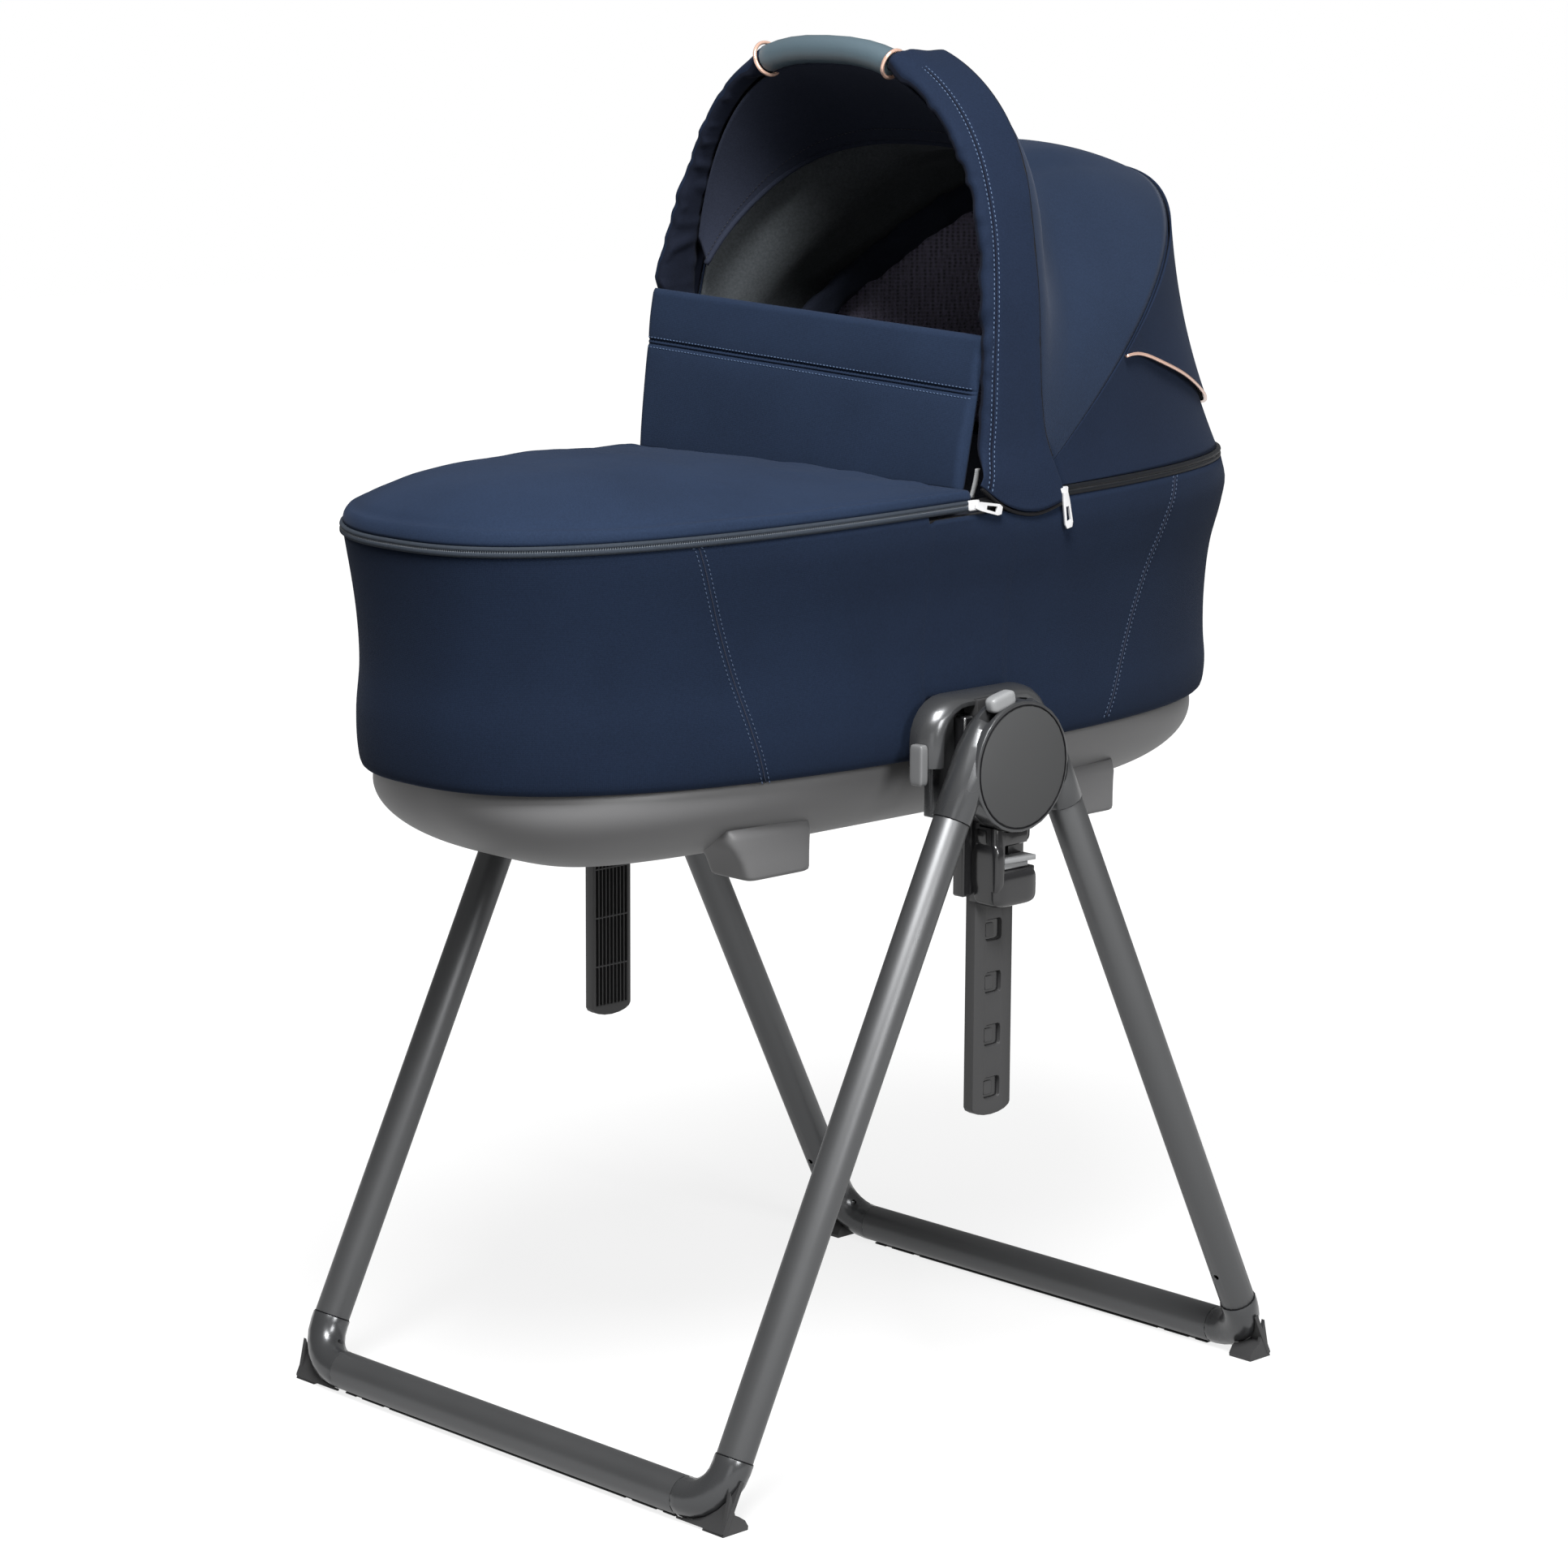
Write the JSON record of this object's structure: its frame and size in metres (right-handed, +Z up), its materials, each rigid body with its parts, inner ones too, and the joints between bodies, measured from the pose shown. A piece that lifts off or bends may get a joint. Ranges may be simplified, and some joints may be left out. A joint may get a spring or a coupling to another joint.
{
  "type": "bassinet with stand",
  "caption": "Soft-sided bassinet with a folding hood on a folding, height-adjustable A-shaped tube stand; the bassinet lifts off.",
  "frame": {"origin": "on the floor under the middle of the object", "axes": "+X to the head (hood) end, -Y to the side with the zip pulls, +Z up"},
  "size_m": [0.8977, 0.5286, 1.1255],
  "materials": {
    "tube_satin": "satin dark grey metallic paint",
    "casting_grey": "satin dark grey",
    "cap_matte": "fine matte grain",
    "black_gloss": "gloss",
    "dark_plastic": "matte",
    "light_grey": "semi-gloss",
    "hull_grey": "fine matte grain",
    "navy_cloth": "plain woven, matte",
    "lining_cloth": "dark lining, matte",
    "zip_tape": "woven tape with moulded teeth",
    "bright_metal": "polished",
    "rose_metal": "rose-gold plating",
    "grip_leather": "smooth, satin",
    "mattress_cloth": "light knit cover"
  },
  "bodies": {
    "hub_housings": {"slider_housing_near": "black_gloss", "slider_housing_far": "black_gloss", "hub_cap_near": "cap_matte", "hub_cap_far": "cap_matte"},
    "front_frame": {"front_bar": "tube_satin", "front_runner": "dark_plastic", "front_leg_near": "tube_satin", "front_leg_far": "tube_satin", "front_elbow_near": "casting_grey", "front_elbow_far": "casting_grey", "front_foot_near": "dark_plastic", "front_foot_far": "dark_plastic", "front_casting_near": "casting_grey", "front_casting_far": "casting_grey"},
    "rear_frame": {"rear_bar": "tube_satin", "rear_runner": "dark_plastic", "rear_leg_near": "tube_satin", "rear_leg_far": "tube_satin", "rear_elbow_near": "casting_grey", "rear_elbow_far": "casting_grey", "rear_foot_near": "dark_plastic", "rear_foot_far": "dark_plastic", "rear_casting_near": "casting_grey", "rear_casting_far": "casting_grey"},
    "fold_button_near": {"fold_button_near": "light_grey"},
    "fold_button_far": {"fold_button_far": "light_grey"},
    "height_lever_near": {"height_lever_near": "light_grey"},
    "height_lever_far": {"height_lever_far": "light_grey"},
    "height_carriage": {"support_strip_near": "dark_plastic", "support_strip_far": "dark_plastic", "carrier_head_near": "casting_grey", "carrier_head_far": "casting_grey"},
    "release_tab_near": {"release_tab_near": "light_grey"},
    "release_tab_far": {"release_tab_far": "light_grey"},
    "bassinet": {"hull": "hull_grey", "fabric_body": "navy_cloth", "liner": "lining_cloth", "rim_frame": "dark_plastic", "zip_band": "zip_tape", "mattress": "mattress_cloth", "apron": "navy_cloth", "back_panel": "navy_cloth", "zip_slider_front": "bright_metal", "zip_slider_rear": "bright_metal", "side_bracket_near": "dark_plastic", "side_bracket_far": "dark_plastic", "hood_hinge_near": "dark_plastic", "hood_hinge_far": "dark_plastic"},
    "wind_flap": {"wind_flap": "navy_cloth"},
    "zip_pull_front": {"zip_pull_front": "bright_metal"},
    "zip_pull_rear": {"zip_pull_rear": "bright_metal"},
    "rear_bow": {"rear_bow": "tube_satin", "canopy": "navy_cloth", "vent_flap": "navy_cloth"},
    "front_bow": {"front_bow": "tube_satin", "grip": "grip_leather", "grip_ring_near": "rose_metal", "grip_ring_far": "rose_metal", "bow_sleeve_near": "navy_cloth", "bow_sleeve_far": "navy_cloth"}
  },
  "joints": [
    {"name": "front_frame_fold", "type": "hinge", "parent": "hub_housings", "child": "front_frame", "pos_m": [-0.0226, 0, 0.5603], "axis": [0, -1, 0], "range_deg": [0, 26]},
    {"name": "rear_frame_fold", "type": "hinge", "parent": "hub_housings", "child": "rear_frame", "pos_m": [-0.0226, 0, 0.5603], "axis": [0, 1, 0], "range_deg": [0, 26]},
    {"name": "bassinet_height", "type": "slide", "parent": "hub_housings", "child": "height_carriage", "axis": [0, 0, 1], "range_m": [0, 0.1744]},
    {"name": "bassinet_lift_off", "type": "slide", "parent": "height_carriage", "child": "bassinet", "axis": [0, 0, 1], "range_m": [0, 0.15]},
    {"name": "rear_bow_fold", "type": "hinge", "parent": "bassinet", "child": "rear_bow", "pos_m": [0.0424, 0, 0.765], "axis": [0, 1, 0], "range_deg": [0, 30], "deforming": ["back_panel", "vent_flap"]},
    {"name": "front_bow_fold", "type": "hinge", "parent": "rear_bow", "child": "front_bow", "pos_m": [0.0424, 0, 0.765], "axis": [0, 1, 0], "range_deg": [0, 40], "deforming": ["canopy"]},
    {"name": "wind_flap_fold", "type": "hinge", "parent": "bassinet", "child": "wind_flap", "pos_m": [-0.0264, 0, 0.7705], "axis": [0, -1, 0], "range_deg": [0, 38]},
    {"name": "zip_pull_front_swing", "type": "hinge", "parent": "bassinet", "child": "zip_pull_front", "pos_m": [-0.0266, -0.2116, 0.7641], "axis": [0, 0, -1], "range_deg": [0, 75]},
    {"name": "zip_pull_rear_swing", "type": "hinge", "parent": "bassinet", "child": "zip_pull_rear", "pos_m": [0.0774, -0.2116, 0.76589], "axis": [-1, 0, 0], "range_deg": [0, 80]},
    {"name": "fold_button_near_press", "type": "slide", "parent": "front_frame", "child": "fold_button_near", "axis": [0.3706, 0, -0.9288], "range_m": [0, 0.0016], "stiffness_N_per_m": 400},
    {"name": "height_lever_near_lift", "type": "hinge", "parent": "hub_housings", "child": "height_lever_near", "pos_m": [-0.0226, -0.246, 0.4795], "axis": [-1, 0, 0], "range_deg": [0, 9], "stiffness_Nm_per_rad": 0.6},
    {"name": "release_tab_near_pull", "type": "slide", "parent": "height_carriage", "child": "release_tab_near", "axis": [0, 0, 1], "range_m": [0, 0.006], "stiffness_N_per_m": 400},
    {"name": "fold_button_far_press", "type": "slide", "parent": "front_frame", "child": "fold_button_far", "axis": [0.3706, 0, -0.9288], "range_m": [0, 0.0016], "stiffness_N_per_m": 400},
    {"name": "height_lever_far_lift", "type": "hinge", "parent": "hub_housings", "child": "height_lever_far", "pos_m": [-0.0226, 0.246, 0.4795], "axis": [1, 0, 0], "range_deg": [0, 9], "stiffness_Nm_per_rad": 0.6},
    {"name": "release_tab_far_pull", "type": "slide", "parent": "height_carriage", "child": "release_tab_far", "axis": [0, 0, 1], "range_m": [0, 0.006], "stiffness_N_per_m": 400}
  ],
  "couplings": [
    {"joint": "rear_frame_fold", "follows": "front_frame_fold", "ratio": 1},
    {"joint": "front_bow_fold", "follows": "rear_bow_fold", "ratio": 1.3333}
  ]
}
